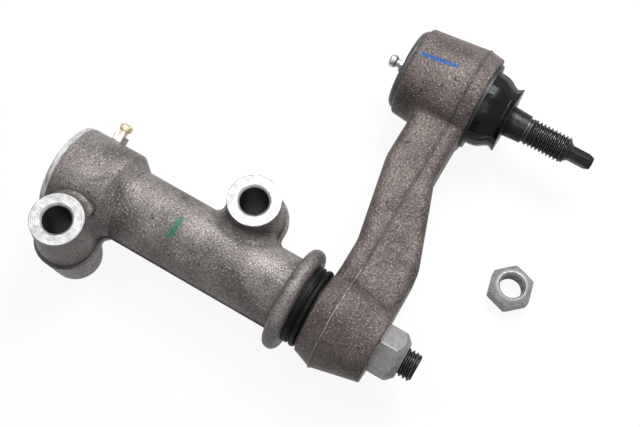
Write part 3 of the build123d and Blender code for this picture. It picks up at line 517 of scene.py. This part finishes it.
def make_piece(name, vertices, faces, node, finish, body=None):
    mesh = bpy.data.meshes.new(name)
    mesh.from_pydata(vertices, [], faces)
    mesh.update()
    mesh.shade_smooth()
    mesh.set_sharp_from_angle(angle=SMOOTH_ANGLE)
    mesh.materials.append(finishes[finish])
    piece = bpy.data.objects.new(name, mesh)
    scene.collection.objects.link(piece)
    if body:
        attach(piece, body)
    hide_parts(node)
    return piece


def smooth_curve(points, steps=4):
    """Points along a Catmull-Rom curve that runs through the given ones."""
    ends = [points[0]] + points + [points[-1]]
    curve = [points[0]]
    for corners in zip(ends, ends[1:], ends[2:], ends[3:]):
        for step in range(1, steps + 1):
            t = step / steps
            weights = (
                (2 * t**2 - t**3 - t) / 2,
                (3 * t**3 - 5 * t**2 + 2) / 2,
                (4 * t**2 - 3 * t**3 + t) / 2,
                (t**3 - t**2) / 2,
            )
            curve.append(tuple(sum(w * c[i] for w, c in zip(weights, corners)) for i in (0, 1)))
    return curve


def flank_depth(turns):
    """Depth of a thread's flank, from 0 on the crest to 1 in the root, at a count of turns."""
    off_crest = abs(2 * (turns % 1.0) - 1)
    return min(max((off_crest - CREST_SHARE) / FLANK_SHARE, 0.0), 1.0)


def thread_cut(thread, x, angle):
    """Depth that a thread takes off at a place along its axis, less where it runs out."""
    from_start, to_end = x - thread["start"], thread["end"] - x
    fade = max(min(from_start / thread["pitch"], to_end / thread["pitch"], 1.0), 0.0)
    return thread["depth"] * fade * flank_depth(x / thread["pitch"] - angle / (2 * pi))


def stations(points, spans):
    """Fills a profile's points in, in steps of the given length within each (start, end, step)."""
    filled = [points[0]]
    for (x0, r0), (x1, r1) in zip(points, points[1:]):
        steps = 1
        for start, end, step_length in spans:
            if min(x0, x1) >= start - CLOSE and max(x0, x1) <= end + CLOSE:
                steps = max(1, ceil(abs(x1 - x0) / step_length))
        for step in range(1, steps + 1):
            share = step / steps
            filled.append((x0 + (x1 - x0) * share, r0 + (r1 - r0) * share))
    return filled


def lathe(points, origin, along, up, thread=None, hexagon=None, segments=96):
    """Vertices and faces of a profile turned about an axis, as rings of equal count.

    A thread cuts a helix into the rings between its start and end. A hexagon, between its start
    and end, limits the rings to half its width across flats, with a corner at its turn.
    """
    side = along.cross(up)
    spans = []
    if thread:
        spans.append((thread["start"], thread["end"], thread["pitch"] / RINGS_PER_PITCH))
    if hexagon:
        spans.append((hexagon["start"], hexagon["end"], HEXAGON_RING_STEP))
    rings = stations(points, spans)
    vertices = []
    for x, radius in rings:
        for step in range(segments):
            angle = 2 * pi * step / segments
            r = radius
            if thread and thread["start"] <= x <= thread["end"]:
                r -= thread_cut(thread, x, angle)
            if hexagon and hexagon["start"] <= x <= hexagon["end"]:
                bend = (angle - hexagon["turn"]) % (pi / 3) - pi / 6
                r = min(r, hexagon["half"] / cos(bend))
            vertices.append(origin + along * x + up * (r * cos(angle)) + side * (r * sin(angle)))
    faces = []
    for ring in range(len(rings) - 1):
        for step in range(segments):
            ahead = (step + 1) % segments
            here, there = ring * segments, (ring + 1) * segments
            faces.append((here + step, there + step, there + ahead, here + ahead))
    return vertices, faces


def ball_stud():
    """Ball stud with a cut thread and a hexagonal wrench tip."""
    ball_radius = 13.5 * MM
    neck_radius = 7.3 * MM
    taper_start_radius, taper_end_radius = 8.3 * MM, 7.24 * MM
    taper_length = 17 * MM
    relief_length, relief_depth = 1.5 * MM, 0.7 * MM
    thread_radius = mounts["stud_thread"]["dims"]["r_mm"] * MM
    thread_length = mounts["stud_thread"]["dims"]["length_mm"] * MM
    thread_start = mounts["stud_thread"]["pos_m"][0] - thread_length / 2
    relief_radius = thread_radius - relief_depth
    taper_end = thread_start - relief_length
    taper_start = taper_end - taper_length
    thread_end = thread_start + thread_length
    tip_start = thread_end + END_CHAMFER
    half_flats = 3.5 * MM
    tip_radius = half_flats / cos(pi / 6)
    tip_turn = radians(39)
    tip_end = STUD_HIGH.x
    lead_in = 0.2 * MM
    arc_steps = 20
    neck_turn = pi - asin(neck_radius / ball_radius)
    profile = []
    for step in range(1, arc_steps + 1):
        turn = neck_turn * step / arc_steps
        profile.append((BALL.x - ball_radius * cos(turn), ball_radius * sin(turn)))
    profile += [
        (taper_start - 2 * MM, neck_radius),
        (taper_start, taper_start_radius),
        (taper_end, taper_end_radius),
        (taper_end + 0.1 * MM, relief_radius),
        (thread_start, relief_radius),
        (thread_start + lead_in, thread_radius),
        (thread_end, thread_radius),
        (tip_start, thread_radius - END_CHAMFER),
        (tip_start + 0.05 * MM, thread_radius - 1.4 * END_CHAMFER),
        (tip_start + 1.8 * MM, tip_radius),
        (tip_end - 3 * MM, tip_radius),
        (tip_end - 0.4 * MM, 3.1 * MM),
        (tip_end, 2.7 * MM),
        (tip_end, CENTRE),
    ]
    thread = {"start": thread_start + lead_in, "end": tip_start, "pitch": PITCH, "depth": THREAD_DEPTH}
    hexagon = {"start": tip_start + 0.06 * MM, "end": tip_end, "half": half_flats, "turn": tip_turn}
    centre_line = Vector((0, BALL.y, BALL.z))
    vertices, faces = lathe(profile, centre_line, X_AXIS, Y_AXIS, thread, hexagon)
    return make_piece("ball_stud_turned", vertices, faces, "ball_stud", "stud", "stud")


def pivot_shaft():
    """Pivot shaft with a cut thread outside the arm."""
    head_radius, head_length = 15 * MM, 6.5 * MM
    journal_radius = 11 * MM
    taper_start_radius, taper_end_radius = 9.98 * MM, 7.85 * MM
    thread_radius = 7 * MM
    head_end = SHAFT_LOW.x + head_length
    taper_end = NUT_LOW.x - 1 * MM
    profile = [
        (SHAFT_LOW.x, CENTRE),
        (SHAFT_LOW.x, head_radius),
        (head_end, head_radius),
        (head_end, journal_radius),
        (SEAL_HIGH.x, journal_radius),
        (SEAL_HIGH.x, taper_start_radius),
        (taper_end, taper_end_radius),
        (taper_end, thread_radius),
        (SHAFT_HIGH.x - END_CHAMFER, thread_radius),
        (SHAFT_HIGH.x, thread_radius - END_CHAMFER),
        (SHAFT_HIGH.x, CENTRE),
    ]
    thread = {"start": taper_end, "end": SHAFT_HIGH.x, "pitch": PITCH, "depth": THREAD_DEPTH}
    centre_line = Vector((0, PIVOT.y, PIVOT.z))
    vertices, faces = lathe(profile, centre_line, X_AXIS, Y_AXIS, thread)
    return make_piece("pivot_shaft_turned", vertices, faces, "pivot_shaft", "stud", "arm")


def crowned_nut(name, node, body, base, along, up, sizes):
    """Hex nut with a coned crown and a thread in its bore."""
    segments = 144
    height, half_flats, bore = sizes["height"], sizes["flats"] / 2, sizes["bore"] / 2
    corner = half_flats / cos(pi / 6)
    sink = 0.9 * MM
    chamfer = 0.5 * MM
    points = [
        (sink, bore),
        (0.0, bore + sink),
        (0.0, corner - chamfer),
        (chamfer, corner),
        (sizes["corner_height"], corner),
        (height, sizes["crown"] / 2),
        (height, bore + sink),
        (height - sink, bore),
    ]
    hexagon = {"start": 0.0, "end": height, "half": half_flats, "turn": radians(sizes["turn"])}
    outer, outer_faces = lathe(points, base, along, up, None, hexagon, segments)
    # A negative depth raises the thread from the bore
    thread = {"start": sink, "end": height - sink, "pitch": PITCH, "depth": -NUT_THREAD_DEPTH}
    wall = [(height - sink, bore), (sink, bore)]
    inner, inner_faces = lathe(wall, base, along, up, thread, None, segments)
    faces = outer_faces + [tuple(len(outer) + i for i in face) for face in inner_faces]
    return make_piece(name, outer + inner, faces, node, "nut", body)


# Widths and heights in metres, and the hexagon's turn in degrees
PIVOT_NUT = {
    "height": NUT_HIGH.x - NUT_LOW.x,
    "corner_height": 8.8 * MM,
    "flats": 22 * MM,
    "crown": 17 * MM,
    "bore": 14 * MM,
    "turn": 2,
}
STUD_NUT = {
    "height": LOOSE_HIGH.z - LOOSE_LOW.z,
    "corner_height": 7.6 * MM,
    "flats": 19.6 * MM,
    "crown": 15.4 * MM,
    "bore": 11.8 * MM,
    "turn": 42.4,
}
# The boot's outside and inside, in millimetres from its base and from its axis
BOOT_OUTSIDE = [
    (0.0, 19.2),
    (0.4, 19.4),
    (2.4, 19.3),
    (5.6, 19.0),
    (8.6, 18.0),
    (11.2, 16.3),
    (12.9, 15.6),
    (14.2, 16.2),
    (15.2, 16.8),
    (15.8, 16.7),
]
BOOT_INSIDE = [
    (15.9, 11.2),
    (15.4, 10.8),
    (14.4, 10.8),
    (13.6, 11.6),
    (11.8, 14.0),
    (8.6, 16.0),
    (5.0, 17.0),
    (0.0, 17.3),
]


def dust_boot():
    """Dust boot, turned round the stud's axis between its base and its lip."""
    base_x = BOOT_LOW.x + 0.7 * MM
    profile = smooth_curve(BOOT_OUTSIDE) + smooth_curve(BOOT_INSIDE)
    points = [(base_x + x * MM, r * MM) for x, r in profile]
    centre_line = Vector((0, BALL.y, BALL.z))
    vertices, faces = lathe(points, centre_line, X_AXIS, Y_AXIS)
    boot = make_piece("dust_boot_moulded", vertices, faces, "dust_boot", "boot")
    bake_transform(boot)


ball_stud()
pivot_shaft()
nut_base = Vector((NUT_LOW.x, PIVOT.y, PIVOT.z))
crowned_nut("pivot_nut_cut", "pivot_nut", "arm", nut_base, X_AXIS, Z_AXIS, PIVOT_NUT)
loose_base = Vector(((LOOSE_LOW.x + LOOSE_HIGH.x) / 2, (LOOSE_LOW.y + LOOSE_HIGH.y) / 2, LOOSE_LOW.z))
crowned_nut("stud_nut_cut", "stud_nut", "bracket", loose_base, Z_AXIS, X_AXIS, STUD_NUT)
dust_boot()


# Floor, lights and camera

WHITE = (1, 1, 1, 1)
FLOOR_REACH = 12.0
FLOOR_GAP = 0.1 * MM
# Share of the floor's white that glows by itself, so that only the rest of it takes a shadow
FLOOR_GLOW = 0.92
# Strength of the world to the rays that light the part
AMBIENT = 0.04
# Name, place, width and watts of each lamp
LAMPS = (
    ("key", (0.12, 0.5, 0.7), 0.35, 7.8),
    ("left", (-0.3, 0.12, 0.75), 0.22, 0.9),
    ("front", (0.12, -0.12, 0.8), 0.3, 1.3),
)
# The camera's place and axes were fitted to the bosses, the pivot axis and the ball axis
CAMERA_PLACE = Vector((0.16954, -0.08844, 0.48505))
CAMERA_RIGHT = Vector((0.8644, 0.50169, 0.03335))
CAMERA_UP = Vector((-0.47941, 0.80237, 0.35548))
CAMERA_BACK = Vector((0.15158, -0.32327, 0.93409))
SENSOR_WIDTH_MM = 36
LENS_MM = 58.55


def seen_rays(tree, least):
    """1 for rays that show a thing as it is, and the least value for those that light the part."""
    rays = tree.nodes.new("ShaderNodeLightPath").outputs
    chain = []
    for ray in ("Is Camera Ray", "Is Glossy Ray", "Is Transmission Ray"):
        either = tree.nodes.new("ShaderNodeMath")
        either.operation = "MAXIMUM"
        tree.links.new(rays[ray], either.inputs[0])
        either.inputs[1].default_value = least
        if chain:
            tree.links.new(chain[-1], either.inputs[1])
        chain.append(either.outputs[0])
    return chain[-1]


def white_floor():
    """Wide pale floor that looks white and keeps the part's shadow."""
    height = min(ARM_LOW.z, LOOSE_LOW.z) - FLOOR_GAP
    corners = ((-1, -1), (1, -1), (1, 1), (-1, 1))
    mesh = bpy.data.meshes.new("floor")
    mesh.from_pydata([(x * FLOOR_REACH, y * FLOOR_REACH, height) for x, y in corners], [], [(0, 1, 2, 3)])
    floor = bpy.data.objects.new("floor", mesh)
    scene.collection.objects.link(floor)
    paint = Paint("floor_white")
    seen = seen_rays(paint.tree, 0.0)
    paint.finish(paint.mix(seen, grey(0.22), grey(0.86)), 0.0, 0.8)
    glow = paint.add("ShaderNodeEmission", {"Color": WHITE, "Strength": 1.0})
    mixer = paint.add("ShaderNodeMixShader", {0: paint.times(seen, FLOOR_GLOW)})
    paint.feed(mixer.inputs[1], paint.shader.outputs[0])
    paint.feed(mixer.inputs[2], glow.outputs[0])
    paint.feed(paint.tree.nodes["Material Output"].inputs["Surface"], mixer.outputs[0])
    mesh.materials.append(paint.material)


def studio_world():
    """World that lights the part dimly and looks white where the floor ends."""
    world = bpy.data.worlds.new("studio")
    scene.world = world
    world.use_nodes = True
    tree = world.node_tree
    background = tree.nodes["Background"]
    background.inputs["Color"].default_value = WHITE
    tree.links.new(seen_rays(tree, AMBIENT), background.inputs["Strength"])


def softbox(name, place, width, power, target):
    """Square lamp that faces the target."""
    light = bpy.data.lights.new(name, "AREA")
    light.shape = "RECTANGLE"
    light.size, light.size_y = width, width
    light.energy = power
    lamp = bpy.data.objects.new(name, light)
    lamp.location = place
    lamp.rotation_euler = (target - Vector(place)).to_track_quat("-Z", "Y").to_euler()
    scene.collection.objects.link(lamp)


def photo_camera():
    """Camera at the place and angle from which the photo was taken."""
    camera_data = bpy.data.cameras.new("camera")
    camera_data.sensor_width = SENSOR_WIDTH_MM
    camera_data.lens = LENS_MM
    camera = bpy.data.objects.new("camera", camera_data)
    turn = Matrix((CAMERA_RIGHT, CAMERA_UP, CAMERA_BACK)).transposed().to_4x4()
    camera.matrix_world = Matrix.Translation(CAMERA_PLACE) @ turn
    scene.collection.objects.link(camera)
    scene.camera = camera


white_floor()
studio_world()
middle = Vector(((cad_box[0][0] + cad_box[1][0]) / 2, (cad_box[0][1] + cad_box[1][1]) / 2, PIVOT.z))
for name, place, width, power in LAMPS:
    softbox(name, place, width, power, middle)
photo_camera()
scene.view_settings.view_transform = "Standard"
